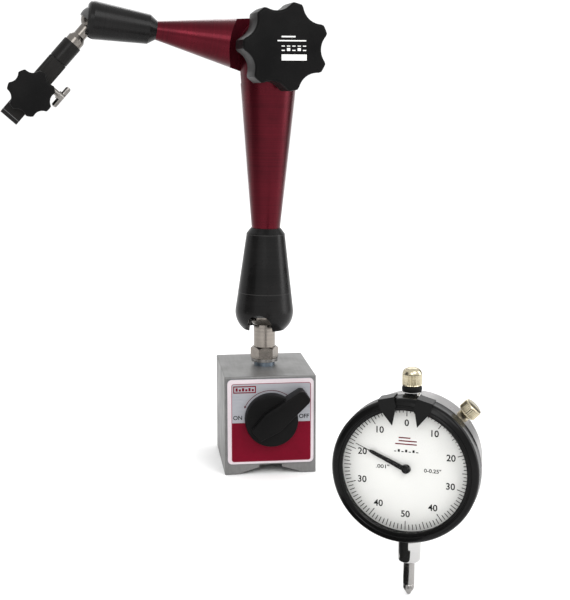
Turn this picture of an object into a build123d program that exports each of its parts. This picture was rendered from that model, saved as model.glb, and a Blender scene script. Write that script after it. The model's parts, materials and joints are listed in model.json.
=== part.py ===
from build123d import *
import os
from math import sin, cos, tan, radians, sqrt, pi

# Dial indicator with its articulated magnetic stand, in millimetres.
# World frame: +Z up, the front of the magnetic base faces -Y, and the origin is
# the middle of the base's footprint on the surface it stands on.

# Magnetic base
base_width, base_depth, base_height = 50.0, 60.0, 54.5
foot_width, groove_half, groove_rise, relief_top = 6.1, 6.25, 3.7, 5.2
divider_half = 2.0
edge_round = 0.7
rotor_z, rotor_radius, rotor_bore, rotor_front, rotor_back = 31.3, 14.2, 14.5, -25.5, 20.0
shaft_radius = 4.0
plate_half, plate_bottom, plate_top, plate_thick = 23.6, 6.0, 53.2, 0.8

# Magnet switch knob
knob_radius, lever_reach, lever_angle = 14.3, 23.8, 38.0
knob_back, knob_face, knob_rib, set_screw_y = -31.1, -38.0, -42.0, -33.8
lever_root, lever_tip, lever_corner, lever_tail = 6.3, 3.9, 1.4, 11.5

# Stud on the top face
thread_radius, thread_depth = 5.0, 7.0
collar_top, washer_top, nut_top = 57.0, 58.6, 65.3
nut_flats = 13.6
neck_radius, lower_ball, lower_ball_z = 6.05, 9.5, 85.3

# Stand arms: both lie in one upright plane that is turned a little about Z
plane_turn = 6.0
tilt_turn = -23.0         # side of the lower socket's notch, measured from the front of the arm plane
elbow_out, elbow_z = 3.0, 229.2
upper_ball_out, upper_ball_z = -91.2, 243.4
head_radius, shoulder_radius = 16.9, 24.0
lower_tail, lower_tail_radius, lower_root = 20.0, 6.6, 46.7
upper_tail, upper_tail_radius, upper_root = 80.0, 4.3, 62.0
rod_radius = 2.4
lap_face = 0.3

# Elbow clamp
bolt_radius, knob_seat = 5.0, 15.5
star_tip, star_root, star_lobes = 22.6, 18.2, 7
star_back, star_face, star_phase = 20.0, 42.0, 22.7
flute_share, lobe_share = 2.4, 0.4   # of a star knob's flute depth: flute radius and lobe rounding

# Upper ball joint and the holder that hangs from it
upper_ball, upper_neck = 6.4, 3.3
sleeve_end = 98.5
holder_angle = 228.1
holder_half, holder_thick = 5.15, 5.5
hinge_at, screw_at, clamp_at, bore_at, jaw_end = 31.0, 41.4, 50.4, 60.4, 67.8
jaw_half, clamp_tip, clamp_root, clamp_lobes, clamp_phase = 6.5, 12.1, 10.1, 7, 24.0
stem_radius = 4.7625

# Dial indicator: its own frame has the contact tip at the origin and the dial facing -y
indicator_x, indicator_y, indicator_turn = 38.0, -203.0, -24.0
dial_height, bezel_radius, dial_opening = 57.0, 30.0, 25.3
case_radius, case_inner, case_back = 28.0, 24.6, 9.0
stem_bottom, stem_shoulder, stem_root = 14.6, 26.6, 28.4
spindle_radius, spindle_top = 2.35, 88.8
point_length = 4.8
pointer_angle = 65.5
limit_angles, limit_tip = (13.9, -15.5), 19.8
rack_pinion, gear_radius, centre_pinion = 1.886, 7.0, 1.5

fit = 0.05                # running clearance on a radius


# ---- small helpers -------------------------------------------------------

def rod(radius, start, end, axis="z", at=(0, 0)):
    """Cylinder along one axis from start to end; at gives its other two coordinates in xyz order."""
    body = Cylinder(radius, end - start, align=(Align.CENTER, Align.CENTER, Align.MIN))
    if axis == "x":
        return Pos(start, at[0], at[1]) * Rot(0, 90, 0) * body
    if axis == "y":
        return Pos(at[0], start, at[1]) * Rot(-90, 0, 0) * body
    return Pos(at[0], at[1], start) * body


def tube(outer, inner, start, end, axis="z", at=(0, 0)):
    return rod(outer, start, end, axis, at) - rod(inner, start - 1, end + 1, axis, at)


def block(x, y, z):
    """Box from three (low, high) pairs."""
    size = [high - low for low, high in (x, y, z)]
    return Pos((x[0] + x[1]) / 2, (y[0] + y[1]) / 2, (z[0] + z[1]) / 2) * Box(*size)


def turned(points):
    """Solid of revolution about z from (radius, z) points joined by straight lines."""
    profile = make_face(Polyline(*[(r, 0, z) for r, z in points], close=True))
    return revolve(profile, Axis.Z, 360)


def shell(outer, inner, low, high):
    """Part of a spherical shell between two heights."""
    band = block((-outer, outer), (-outer, outer), (low, high))
    return (Sphere(outer) & band) - Sphere(inner)


def star(tip, root, lobes, back, face, phase):
    """Star knob about the y axis: the lobes are round and the flutes between them are hollow."""
    step = 360 / lobes
    flute = (tip - root) * flute_share
    disc = rod(tip, -face, -back, "y")
    for i in range(lobes):
        angle = radians(phase + (i + 0.5) * step)
        centre = ((root + flute) * cos(angle), (root + flute) * sin(angle))
        disc -= rod(flute, -face - 1, -back + 1, "y", centre)
    return soften(disc, disc.edges().filter_by(Axis.Y), (tip - root) * lobe_share)


def soften(shape, edges, radius):
    """Shape with those edges filleted, or left sharp where the fillet doesn't fit."""
    try:
        return fillet(edges, radius)
    except ValueError:
        return shape


def notch(radius, reach, limit, turn):
    """Room for a neck that swings from -z by limit degrees, towards the side at turn degrees from -y."""
    far = Vector(0, -reach * sin(radians(limit)), -reach * cos(radians(limit)))
    corner = (0, -reach * tan(radians(limit / 2)), -reach)
    side = Polyline((0, 0, 0), (0, 0, -reach), corner, tuple(far), close=True)
    sector = extrude(make_face(side), radius, dir=(1, 0, 0), both=True)
    end = Rot(180 - limit, 0, 0) * rod(radius, 0, reach)
    return Rot(0, 0, turn) * (sector + end)


def place(frame, shape):
    return frame.location * shape


# ---- frames of the arms, the holder and the indicator --------------------

across = Vector(cos(radians(plane_turn)), sin(radians(plane_turn)), 0)
front = Vector(sin(radians(plane_turn)), -cos(radians(plane_turn)), 0)
up = Vector(0, 0, 1)


def arm_frame(origin, direction):
    """Frame whose z runs along direction and whose -y faces the front of the arm plane."""
    return Plane(origin=origin, x_dir=(front * -1).cross(direction), z_dir=direction)


lower_centre = up * lower_ball_z
elbow_centre = across * elbow_out + up * elbow_z
upper_centre = across * upper_ball_out + up * upper_ball_z
lower_frame = arm_frame(lower_centre, (elbow_centre - lower_centre).normalized())
upper_frame = arm_frame(elbow_centre, (upper_centre - elbow_centre).normalized())
holder_way = across * cos(radians(holder_angle)) + up * sin(radians(holder_angle))
holder_frame = arm_frame(upper_centre, holder_way)
lower_length = (elbow_centre - lower_centre).length
upper_length = (upper_centre - elbow_centre).length
front_frame = arm_frame(elbow_centre, up)
indicator_side = (cos(radians(indicator_turn)), sin(radians(indicator_turn)), 0)
indicator_frame = Plane(origin=(indicator_x, indicator_y, 0), x_dir=indicator_side, z_dir=(0, 0, 1))
parts = {}


# ---- magnetic base -------------------------------------------------------

def make_base():
    half = base_width / 2
    groove = [(-half + foot_width, 0), (-groove_half, groove_rise), (-groove_half, relief_top),
              (groove_half, relief_top), (groove_half, groove_rise), (half - foot_width, 0)]
    outline = Polyline((-half, 0), *groove, (half, 0), (half, base_height), (-half, base_height), close=True)
    body = extrude(Plane.XZ * make_face(outline), base_depth / 2, both=True)
    uprights = body.edges().filter_by(Axis.Z).filter_by(lambda e: abs(e.center().X) > half - 1)
    body = soften(body, uprights, edge_round)
    body = soften(body, body.faces().sort_by(Axis.Z)[-1].edges(), edge_round)
    body -= rod(rotor_bore, -base_depth / 2 - 1, rotor_back + 1.5, "y", (0, rotor_z))
    body -= rod(shaft_radius + fit, 0, rotor_back + 5, "y", (0, rotor_z))
    body -= rod(thread_radius, base_height - thread_depth, base_height + 1)
    wide, deep = base_width, base_depth
    parts["pole_left"] = body & block((-wide, -divider_half), (-deep, deep), (-1, 2 * wide))
    parts["pole_right"] = body & block((divider_half, wide), (-deep, deep), (-1, 2 * wide))
    parts["pole_divider"] = body & block((-divider_half, divider_half), (-deep, deep), (-1, 2 * wide))

    front_y = -base_depth / 2
    plate = block((-plate_half, plate_half), (front_y - plate_thick, front_y), (plate_bottom, plate_top))
    plate = soften(plate, plate.edges().filter_by(Axis.Y), 2.5)
    parts["label_plate"] = plate - rod(6.0, front_y - 2, front_y + 1, "y", (0, rotor_z))
    parts["rotor_bush"] = tube(rotor_bore, shaft_radius + fit, front_y, rotor_front - 0.3, "y", (0, rotor_z))

    parts["stud_collar"] = tube(5.8, thread_radius, base_height, collar_top)
    washer = tube(7.4, thread_radius, collar_top, washer_top)
    parts["spring_washer"] = washer - block((-0.6, 0.6), (0, 8), (collar_top - 1, washer_top + 1))
    hexagon = RegularPolygon(nut_flats / 2, 6, major_radius=False)
    nut = extrude(Pos(0, 0, washer_top) * hexagon, nut_top - washer_top)
    corner = nut_flats / sqrt(3)
    nut &= turned([(0, washer_top), (corner - 0.5, washer_top), (corner, washer_top + 0.7),
                   (corner, nut_top - 1.0), (corner - 1.2, nut_top), (0, nut_top)])
    parts["stud_nut"] = nut - rod(thread_radius, 0, 90)
    stud = rod(thread_radius, base_height - thread_depth, nut_top)
    stud += rod(neck_radius, nut_top, lower_ball_z - 4)
    parts["base_ball_stud"] = stud + Pos(0, 0, lower_ball_z) * Sphere(lower_ball)


def make_switch():
    centre = (0, rotor_z)
    disc = rod(knob_radius, knob_face, knob_back, "y")
    disc = soften(disc, disc.edges().sort_by(Axis.Y)[0], 1.2)
    upper_edge = [(-lever_tail, lever_tip), (0, lever_root), (lever_reach - lever_corner, lever_tip),
                  (lever_reach, lever_tip - lever_corner)]
    lower_edge = [(x, -y) for x, y in reversed(upper_edge)]
    outline = Polyline(*upper_edge, *lower_edge, close=True)
    lever = Pos(0, knob_back, 0) * extrude(Plane.XZ * make_face(outline), knob_back - knob_rib)
    lever = soften(lever, lever.faces().sort_by(Axis.Y)[0].edges(), 0.8)
    knob = Rot(0, -lever_angle, 0) * (disc + lever)
    knob -= rod(shaft_radius, knob_face + 2, knob_back + 1, "y")
    across_knob = Rot(0, 180 - lever_angle, 0)
    knob -= across_knob * rod(1.5, shaft_radius - 0.5, knob_radius + 1, "x", (set_screw_y, 0))
    parts["switch_knob"] = Pos(0, 0, rotor_z) * knob
    shaft = rod(shaft_radius, knob_face + 2, rotor_back + 4.5, "y")
    screw = across_knob * rod(1.5, shaft_radius, knob_radius - 1.5, "x", (set_screw_y, 0))
    parts["switch_shaft"] = Pos(0, 0, rotor_z) * shaft
    parts["knob_set_screw"] = Pos(0, 0, rotor_z) * screw - parts["switch_shaft"]
    parts["magnet_rotor"] = tube(rotor_radius, shaft_radius, rotor_front, rotor_back, "y", centre)


# ---- ball joints ---------------------------------------------------------

def make_lower_joint():
    liner, cavity = lower_ball + 0.8, lower_ball + 0.9
    dome = shell(liner, lower_ball + fit, -2.5, liner)
    parts["lower_ball_liner"] = Pos(0, 0, lower_ball_z) * dome

    seam, waist, small, bottom = 11.0, 1.7, 43.7, -10.0
    wide, narrow, collar = 16.1, 10.6, 8.3
    slope = (wide - narrow) / (small - waist)
    seam_radius = wide - (seam - waist) * slope
    rim = 10.8
    outside = [Line((rim, 0, bottom), (11.6, 0, bottom)),
               ThreePointArc((11.6, 0, bottom), (15.0, 0, -5.6), (wide, 0, waist)),
               Line((wide, 0, waist), (seam_radius, 0, seam)),
               Line((seam_radius, 0, seam), (0, 0, seam)),
               Line((0, 0, seam), (0, 0, bottom)),
               Line((0, 0, bottom), (rim, 0, bottom))]
    socket = revolve(make_face(outside), Axis.Z, 360)
    socket -= Sphere(cavity) + rod(8.05, 5, seam + 1)
    socket -= turned([(0, -12), (rim + 0.6, -12), (9.0, -5.2), (0, -5.2)])
    socket -= notch(6.6, 24.0, 65.0, tilt_turn)
    parts["lower_socket"] = place(lower_frame, socket)

    sleeve = turned([(0, seam), (seam_radius, seam), (narrow, small), (collar, lower_root), (0, lower_root)])
    sleeve -= rod(8.05, seam - 1, 16.0) + rod(rod_radius + 0.3, 15, lower_root + 1)
    sleeve -= rod(lower_tail_radius, lower_tail, lower_root + 1)
    parts["lower_sleeve"] = place(lower_frame, sleeve)
    pad = rod(8.0, 6.9, 15.0) - Sphere(cavity + 0.05)
    parts["lower_ball_pad"] = place(lower_frame, pad)
    parts["lower_push_rod"] = place(lower_frame, rod(rod_radius, 15.0, lower_length - shoulder_radius - 1))


def make_upper_joint():
    liner, cavity = upper_ball + 0.75, upper_ball + 0.85
    to_ball = upper_length
    wide, narrow = 9.95, 7.75
    body = turned([(0, upper_root), (5.0, upper_root), (narrow, upper_root + 4), (wide, sleeve_end - 3.0),
                   (wide - 0.5, sleeve_end - 1.0), (wide - 1.9, sleeve_end), (0, sleeve_end)])
    body -= Pos(0, 0, to_ball) * Sphere(cavity)
    body -= rod(upper_tail_radius, upper_root - 1, upper_tail)
    body -= rod(rod_radius + 0.2, upper_tail - 1, to_ball)
    body -= rod(5.05, to_ball - 11.5, to_ball)
    # The neck leaves the socket downwards, through a notch on the underside
    opening = Rot(0, 180, 0) * notch(upper_neck + 0.35, 22.0, 75.0, 0)
    body -= Pos(0, 0, to_ball) * Rot(0, 0, -90) * opening
    parts["upper_socket"] = place(upper_frame, body)
    pad = rod(5.0, to_ball - 11.5, to_ball - 4.6) - Pos(0, 0, to_ball) * Sphere(cavity + 0.05)
    parts["upper_ball_pad"] = place(upper_frame, pad)
    parts["upper_push_rod"] = place(upper_frame, rod(rod_radius, shoulder_radius + 1, to_ball - 11.5))
    dome = shell(liner, upper_ball + fit, -liner, 2.2)
    parts["upper_ball_liner"] = place(holder_frame, dome)


# ---- arms and elbow clamp ------------------------------------------------

def head_cut(side):
    """The half of the elbow head that the other arm takes: side -1 is the front, +1 the back."""
    low, high = sorted((-side * lap_face, side * 2 * head_radius))
    return rod(shoulder_radius, low, high, "y")


def make_arms():
    lower = turned([(0, lower_tail), (lower_tail_radius, lower_tail), (lower_tail_radius, lower_root),
                    (7.9, lower_root), (head_radius, lower_length), (0, lower_length)])
    lower += Pos(0, 0, lower_length) * Sphere(head_radius)
    lower -= Pos(0, 0, lower_length) * head_cut(1)
    lower -= rod(rod_radius + 0.05, lower_tail - 1, lower_length - shoulder_radius)
    seat = Pos(0, 0, lower_length) * rod(11.2, -head_radius - 5, -knob_seat, "y")
    lower -= seat + Pos(0, 0, lower_length) * rod(bolt_radius + fit, -head_radius - 5, 10, "y")
    parts["lower_arm"] = place(lower_frame, lower)

    upper = turned([(0, 0), (head_radius, 0), (4.9, upper_root), (upper_tail_radius, upper_root),
                    (upper_tail_radius, upper_tail), (0, upper_tail)])
    upper += Sphere(head_radius)
    upper -= head_cut(-1)
    upper -= rod(rod_radius + 0.05, shoulder_radius, upper_tail + 1)
    upper -= rod(bolt_radius, -10, head_radius + 5, "y")
    upper -= rod(9.2, 13.0, head_radius + 5, "y")
    parts["upper_arm"] = place(upper_frame, upper)

    disc = tube(13.5, bolt_radius + fit, -lap_face, lap_face - 0.05, "y")
    parts["elbow_friction_disc"] = place(front_frame, disc)
    washer = tube(11.0, bolt_radius + fit, -knob_seat - 1.5, -knob_seat, "y")
    parts["elbow_washer"] = place(front_frame, washer)
    bolt = rod(bolt_radius, -star_face + 8, 13.0, "y") + rod(9.0, 13.0, 18.0, "y")
    slot = block((-7, 7), (16.6, 19), (-0.9, 0.9))
    parts["tie_bolt"] = place(front_frame, bolt - slot)

    knob = star(star_tip, star_root, star_lobes, star_back, star_face, star_phase)
    knob = soften(knob, knob.faces().sort_by(Axis.Y)[0].edges(), 1.6)
    knob += rod(13.0, -star_back, -knob_seat - 1.8, "y")
    knob -= rod(8.0, -star_face + 5, 0, "y")
    insert = tube(8.0, bolt_radius + fit, -star_face + 5, -knob_seat - 1.8, "y")
    parts["elbow_knob"] = place(front_frame, knob)
    parts["elbow_knob_insert"] = place(front_frame, insert)


# ---- fine-adjust holder --------------------------------------------------

def make_holder():
    half, thick = holder_half, holder_thick
    top = 16.4
    stud = Sphere(upper_ball) + rod(upper_neck, 0, 11.5) + rod(2.5, 12, 22)
    stud += turned([(0, 11.0), (upper_neck, 11.0), (4.6, 13.2), (4.6, top), (0, top)])
    parts["holder_ball_stud"] = place(holder_frame, stud)

    slot_top, slot_low = 27.6, 28.4
    neck = rod(half, top, slot_top) - rod(2.5, top - 1, 22)
    tongue = block((-1.6, 1.6), (-4.0, 4.0), (slot_top - 1, screw_at + 1.8))
    parts["fine_upper_block"] = place(holder_frame, neck + tongue - rod(1.05, -9, 9, "y", (0, hinge_at)))

    low = screw_at + 3.4
    body = block((-half, half), (-thick, thick), (slot_low, low))
    body = soften(body, body.edges().filter_by(Axis.Z), 1.6)
    body -= block((-2.35, 2.35), (-4.25, 4.25), (slot_low - 1, screw_at + 2.4))
    body -= rod(1.0, -9, 9, "y", (0, hinge_at))
    body -= rod(1.65, -half - 1, 0, "x", (0, screw_at)) + rod(1.7, 0, 4.4, "x", (0, screw_at))
    eye = rod(half, -2.5, 2.5, "y", (0, clamp_at)) + block((-half, half), (-2.5, 2.5), (low - 1, clamp_at))
    parts["fine_housing"] = place(holder_frame, body + eye - rod(2.6, -4, 4, "y", (0, clamp_at)))
    parts["fine_hinge_pin"] = place(holder_frame, rod(1.0, -thick, thick, "y", (0, hinge_at)))

    wire, coil, start, length = 0.28, 1.25, 2.3, 1.9
    helix = Pos(start, 0, screw_at) * Rot(0, 90, 0) * Helix(pitch=0.65, height=length, radius=coil)
    spring = sweep(Plane(origin=helix @ 0, z_dir=helix % 0) * Circle(wire), path=helix)
    parts["fine_spring"] = place(holder_frame, spring)

    bar_at = -13.4
    cross_hole = rod(1.1, screw_at - 9, screw_at + 9, "z", (bar_at, 0))
    stem = rod(1.6, bar_at + 0.5, -2.2, "x", (0, screw_at)) - cross_hole
    head = rod(2.3, bar_at - 1.2, bar_at + 2.4, "x", (0, screw_at))
    stem += head - cross_hole
    bar = rod(1.1, screw_at - 5.7, screw_at + 5.7, "z", (bar_at, 0))
    for end in (-1, 1):
        bar += Pos(bar_at, 0, screw_at + end * 4.8) * Sphere(1.75)
    parts["fine_screw"] = place(holder_frame, stem)
    parts["fine_screw_bar"] = place(holder_frame, bar)

    jaw = rod(half, -jaw_half, jaw_half, "y", (0, clamp_at))
    jaw += block((-half, half), (-jaw_half, jaw_half), (clamp_at, jaw_end))
    jaw = soften(jaw, jaw.faces().sort_by(Axis.Z)[-1].edges().filter_by(Axis.X), 0.8)
    jaw -= rod(half + 0.4, -2.75, 2.75, "y", (0, clamp_at))
    jaw -= block((-9, 9), (-2.75, 2.75), (clamp_at - 9, clamp_at))
    jaw -= rod(stem_radius + 0.03, -9, 9, "x", (0, bore_at))
    jaw -= block((-9, 9), (-0.6, 0.6), (clamp_at, bore_at))
    jaw -= rod(2.4, -9, 9, "y", (0, clamp_at))
    parts["stem_clamp"] = place(holder_frame, jaw)
    at = (0, clamp_at)
    parts["clamp_screw"] = place(holder_frame, rod(2.4, -jaw_half - 6, jaw_half, "y", at)
                                 + rod(3.6, jaw_half, jaw_half + 2, "y", at))
    parts["clamp_washer"] = place(holder_frame, tube(4.8, 2.4, -jaw_half - 0.8, -jaw_half, "y", at))
    knob = star(clamp_tip, clamp_root, clamp_lobes, jaw_half + 1.1, jaw_half + 10.5, clamp_phase)
    knob = soften(knob, knob.faces().sort_by(Axis.Y)[0].edges(), 0.9)
    knob = Pos(0, 0, clamp_at) * knob - rod(2.45, -jaw_half - 6.5, 0, "y", at)
    parts["clamp_knob"] = place(holder_frame, knob)


# ---- dial indicator ------------------------------------------------------

neck_front, neck_back, wall_front, wall_back = -9.0, -5.0, -6.2, -4.8
bezel_front, bezel_back, face_y = -15.0, -5.2, -9.8
gear_x = 0.35 - spindle_radius - rack_pinion - 0.05
gear_z = dial_height + sqrt((gear_radius + centre_pinion + 0.05) ** 2 - gear_x ** 2)
middle = (0, dial_height)


def make_case():
    case = tube(case_radius, case_inner, neck_back, case_back, "y", middle)
    case += tube(26.1, case_inner, neck_front, neck_back + 1, "y", middle)
    case += rod(case_inner + 0.5, wall_front, wall_back, "y", middle)
    case += block((-6.5, 6.5), (neck_back, 6.0), (stem_root, dial_height - 20))
    case += block((-6.0, 6.0), (neck_back, 6.0), (dial_height + 20, dial_height + case_radius - 0.7))
    case -= rod(4.2, 0, dial_height - 22) + rod(3.4, dial_height + 22, 100)
    case -= rod(spindle_radius + 0.1, 0, 100)
    case -= rod(0.65, -9, 0, "y", middle) + rod(0.65, -9, 0, "y", (gear_x, gear_z))
    case -= Pos(0, 0, dial_height) * Rot(0, -45, 0) * rod(1.55, 20, 32, "x", (1.0, 0))
    parts["case"] = case

    cover = rod(case_radius - 0.2, case_back, case_back + 2.2, "y", middle)
    lug = block((-3.175, 3.175), (case_back + 2, case_back + 14), (dial_height - 6.5, dial_height + 6.5))
    lug = soften(lug, lug.edges().filter_by(Axis.X).filter_by(lambda e: e.center().Y > case_back + 13), 4.5)
    cover += lug
    cover -= rod(3.2, -9, 9, "x", (case_back + 8, dial_height))
    screws = []
    for i in range(4):
        angle = radians(45 + 90 * i)
        at = (24.8 * cos(angle), dial_height + 24.8 * sin(angle))
        cover -= rod(1.0, case_back - 1, case_back + 3, "y", at)
        cover -= rod(1.9, case_back + 1.2, case_back + 3, "y", at)
        screw = rod(1.0, case_back, case_back + 1.2, "y", at)
        screw += rod(1.9, case_back + 1.2, case_back + 2.4, "y", at)
        slot = block((at[0] - 2, at[0] + 2), (case_back + 2.0, case_back + 3), (at[1] - 0.25, at[1] + 0.25))
        screws.append((screw - slot).solid())
    parts["back_cover"] = cover
    parts["back_screws"] = Compound(screws)

    stem = rod(stem_radius, stem_bottom, stem_shoulder) + rod(5.0, stem_shoulder, stem_root)
    stem += rod(4.2, stem_root, dial_height - 22)
    parts["stem_bush"] = stem - rod(spindle_radius + fit, 0, 100)
    top = dial_height + case_radius
    flange = rod(4.3, top - 0.8, top + 2.0) - rod(case_radius, -9, 9, "y", middle)
    collar = flange + rod(3.4, dial_height + 22.2, top + 1.0)
    parts["top_collar"] = collar - rod(spindle_radius + 0.1, 0, 100)
    parts["top_seal"] = tube(4.1, spindle_radius + 0.15, top + 2.0, top + 4.2)
    cap = turned([(0, top + 4.2), (4.0, top + 4.2), (4.0, top + 9.6), (3.4, top + 11.2), (2.0, top + 12.2),
                  (0, top + 12.4)])
    parts["top_cap"] = cap - rod(spindle_radius + 0.25, 0, spindle_top + 6.8)


def make_bezel():
    ring = turned([(dial_opening, 15.0), (28.6, 14.4), (bezel_radius, 12.6), (bezel_radius, -bezel_back),
                   (26.3, -bezel_back), (26.3, 11.9), (27.0, 11.9), (27.0, 13.3), (dial_opening, 13.3)])
    ring = Pos(0, 0, dial_height) * Rot(90, 0, 0) * ring
    parts["bezel"] = ring
    parts["crystal"] = rod(27.0, -13.3, -11.9, "y", middle)
    parts["dial"] = tube(26.3, 1.9, face_y, -9.2, "y", middle)
    root, spread, outside = 27.0, 3.3, bezel_radius + 1.0
    for name, angle in zip(("limit_hand_left", "limit_hand_right"), limit_angles):
        face = make_face(Polyline((0, limit_tip), (spread, root), (spread, outside), (-spread, outside),
                                  (-spread, root), close=True))
        blade = Pos(0, bezel_front - 0.1, 0) * extrude(Plane.XZ * face, 0.9)
        hook = block((-spread, spread), (bezel_front - 1.0, -8.5), (bezel_radius + 0.15, outside))
        parts[name] = Pos(0, 0, dial_height) * Rot(0, -angle, 0) * (blade + hook)
    head = rod(4.0, 31.0, 36.0, "x", (1.0, 0))
    head += rod(2.6, 28.3, 31.0, "x", (1.0, 0)) + rod(1.5, 23.5, 29, "x", (1.0, 0))
    parts["bezel_screw"] = Pos(0, 0, dial_height) * Rot(0, -45, 0) * head


def make_movement():
    spindle = rod(spindle_radius, point_length, spindle_top)
    spindle -= block((-5, 0.35 - spindle_radius), (-5, 5), (gear_z - 12, gear_z + 5))
    parts["spindle"] = spindle
    parts["contact_point"] = turned([(0, 0.0), (0.9, 0.35), (1.3, 1.2), (1.6, 1.6), (2.25, 3.4),
                                     (2.25, point_length), (0, point_length)])
    edge = [(-1.1, 0), (-0.75, 15.5), (-0.2, 16.0), (-0.12, 22.6)]
    blade = Polyline(*edge, *[(-x, y) for x, y in reversed(edge)], close=True)
    hand = Pos(0, -10.7, 0) * extrude(Plane.XZ * make_face(blade), 0.35)
    hand = hand + rod(1.6, -11.5, -10.3, "y") - rod(0.6, -11.0, 0, "y")
    parts["pointer"] = Pos(0, 0, dial_height) * Rot(0, -pointer_angle, 0) * hand
    parts["centre_arbor"] = rod(0.6, -11.0, -2.9, "y", middle) + rod(centre_pinion, -4.5, -3.2, "y", middle)
    at = (gear_x, gear_z)
    gear = rod(0.6, -6.0, 4.0, "y", at) + rod(gear_radius, -4.3, -3.4, "y", at)
    parts["rack_gear"] = gear + rod(rack_pinion, -3.4, 1.3, "y", at)
    turns, inner, pitch = 4, 1.6, 0.9
    stations = [(inner + pitch * t / 12, t * pi / 6) for t in range(turns * 12 + 1)]
    spiral = Spline(*[(reach * cos(angle), reach * sin(angle)) for reach, angle in stations])
    strip = trace(spiral, 0.2)
    hairspring = Pos(gear_x, 3.3, gear_z) * extrude(Plane.XZ * strip, 0.5)
    parts["hairspring"] = hairspring
    helix = Pos(9.0, 0, dial_height - 15) * Helix(pitch=0.9, height=24, radius=1.6)
    coil = sweep(Plane(origin=helix @ 0, z_dir=helix % 0) * Circle(0.25), path=helix)
    parts["return_spring"] = coil


make_base()
make_switch()
make_lower_joint()
make_upper_joint()
make_arms()
make_holder()
stand_nodes = set(parts)
make_case()
make_bezel()
make_movement()

os.makedirs("parts", exist_ok=True)
for name, shape in parts.items():
    if name not in stand_nodes:
        shape = place(indicator_frame, shape)
    export_step(shape, f"parts/{name}.step")
print(len(parts), "nodes")
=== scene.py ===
import json
from math import cos, exp, log, pi, radians, sin, sqrt

import bpy
from mathutils import Matrix, Vector


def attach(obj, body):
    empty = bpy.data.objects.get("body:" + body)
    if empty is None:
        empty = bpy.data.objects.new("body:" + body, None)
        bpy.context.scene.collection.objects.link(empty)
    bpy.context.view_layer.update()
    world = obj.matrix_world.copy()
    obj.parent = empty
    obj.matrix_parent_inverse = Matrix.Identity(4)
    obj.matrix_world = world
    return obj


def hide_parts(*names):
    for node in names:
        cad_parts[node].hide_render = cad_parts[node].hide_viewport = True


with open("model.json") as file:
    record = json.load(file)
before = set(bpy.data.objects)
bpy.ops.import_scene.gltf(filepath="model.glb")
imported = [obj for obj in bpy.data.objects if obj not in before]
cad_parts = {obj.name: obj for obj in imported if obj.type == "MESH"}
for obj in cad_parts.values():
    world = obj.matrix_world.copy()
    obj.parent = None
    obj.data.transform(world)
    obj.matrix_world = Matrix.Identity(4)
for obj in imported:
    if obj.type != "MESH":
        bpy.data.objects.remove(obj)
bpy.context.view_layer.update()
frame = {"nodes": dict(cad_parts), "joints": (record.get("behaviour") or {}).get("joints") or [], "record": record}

mm = 0.001
joints = {j["name"]: j for j in frame["joints"]}
bodyOf = {n: b for b, members in frame["record"]["behaviour"]["bodies"].items() for n in members}
slotOf = {s["node"]: s["material_slot"] for s in frame["record"]["subparts"]}
upward = Vector((0, 0, 1))
print("frame loaded:", len(frame["nodes"]), "nodes")


# seats: the local frames that the pieces are drawn in, taken from the joints

def pivotOf(joint):
    return Vector(joints[joint]["pos_m"])


def axisOf(joint):
    return Vector(joints[joint]["axis"]).normalized()


def seatAt(origin, along, back):  # z runs along, y points to back
    side = back.cross(along).normalized()
    turn = Matrix((side, along.cross(side), along)).transposed()
    return Matrix.Translation(origin) @ turn.to_4x4()


armFront = axisOf("elbow_fold")
elbowSpot = pivotOf("elbow_fold")
lowerBallSpot = pivotOf("lower_tilt")
upperBallSpot = pivotOf("upper_tilt")
dialSpot = pivotOf("bezel_turn")
dialFront = axisOf("bezel_turn")

homeSeat = Matrix.Identity(4)
lowerSeat = seatAt(lowerBallSpot, (elbowSpot - lowerBallSpot).normalized(), -armFront)
upperSeat = seatAt(elbowSpot, (upperBallSpot - elbowSpot).normalized(), -armFront)
elbowSeat = seatAt(elbowSpot, armFront, upward)          # z comes out of the star knob
holderSeat = seatAt(upperBallSpot, axisOf("holder_spin"), -armFront)
clampSeat = seatAt(pivotOf("clamp_swivel"), armFront, axisOf("holder_spin"))
switchSeat = seatAt(pivotOf("switch_turn"), axisOf("switch_turn"), upward)
faceSeat = seatAt(dialSpot, dialFront, upward)           # x right, y up, z towards the reader
stemSeat = seatAt(dialSpot, upward, -dialFront)          # z up, centred on the dial
lockAxis = axisOf("bezel_lock_turn")
lockPlane = (pivotOf("bezel_lock_turn") - dialSpot).dot(lockAxis)
bezelLockBase = seatAt(pivotOf("bezel_lock_turn") - lockAxis * lockPlane, lockAxis, -dialFront)


# modelling helpers

def deselectAll():
    if bpy.context.mode != "OBJECT":
        bpy.ops.object.mode_set(mode="OBJECT")
    bpy.ops.object.select_all(action="DESELECT")


def pick(piece):
    deselectAll()
    piece.select_set(True)
    bpy.context.view_layer.objects.active = piece


def applyModifier(piece, kind, **values):
    pick(piece)
    modifier = piece.modifiers.new(kind.lower(), kind)
    for key, value in values.items():
        setattr(modifier, key, value)
    bpy.ops.object.modifier_apply(modifier=modifier.name)


def roundEdges(piece, width, segments=2, angle=32):
    applyModifier(piece, "BEVEL", width=width * mm, segments=segments, limit_method="ANGLE",
                  angle_limit=radians(angle), use_clamp_overlap=True, miter_outer="MITER_ARC")


def drawOutline(name, points):  # one vertex, extruded from point to point
    deselectAll()
    bpy.ops.mesh.primitive_plane_add(size=mm)
    piece = bpy.context.object
    piece.name = name
    bpy.ops.object.mode_set(mode="EDIT")
    bpy.ops.mesh.select_all(action="SELECT")
    bpy.ops.mesh.merge(type="CENTER")
    bpy.ops.transform.translate(value=points[0])
    for here, there in zip(points, points[1:]):
        bpy.ops.mesh.extrude_vertices_move(TRANSFORM_OT_translate={"value": there - here})
    return piece


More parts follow.
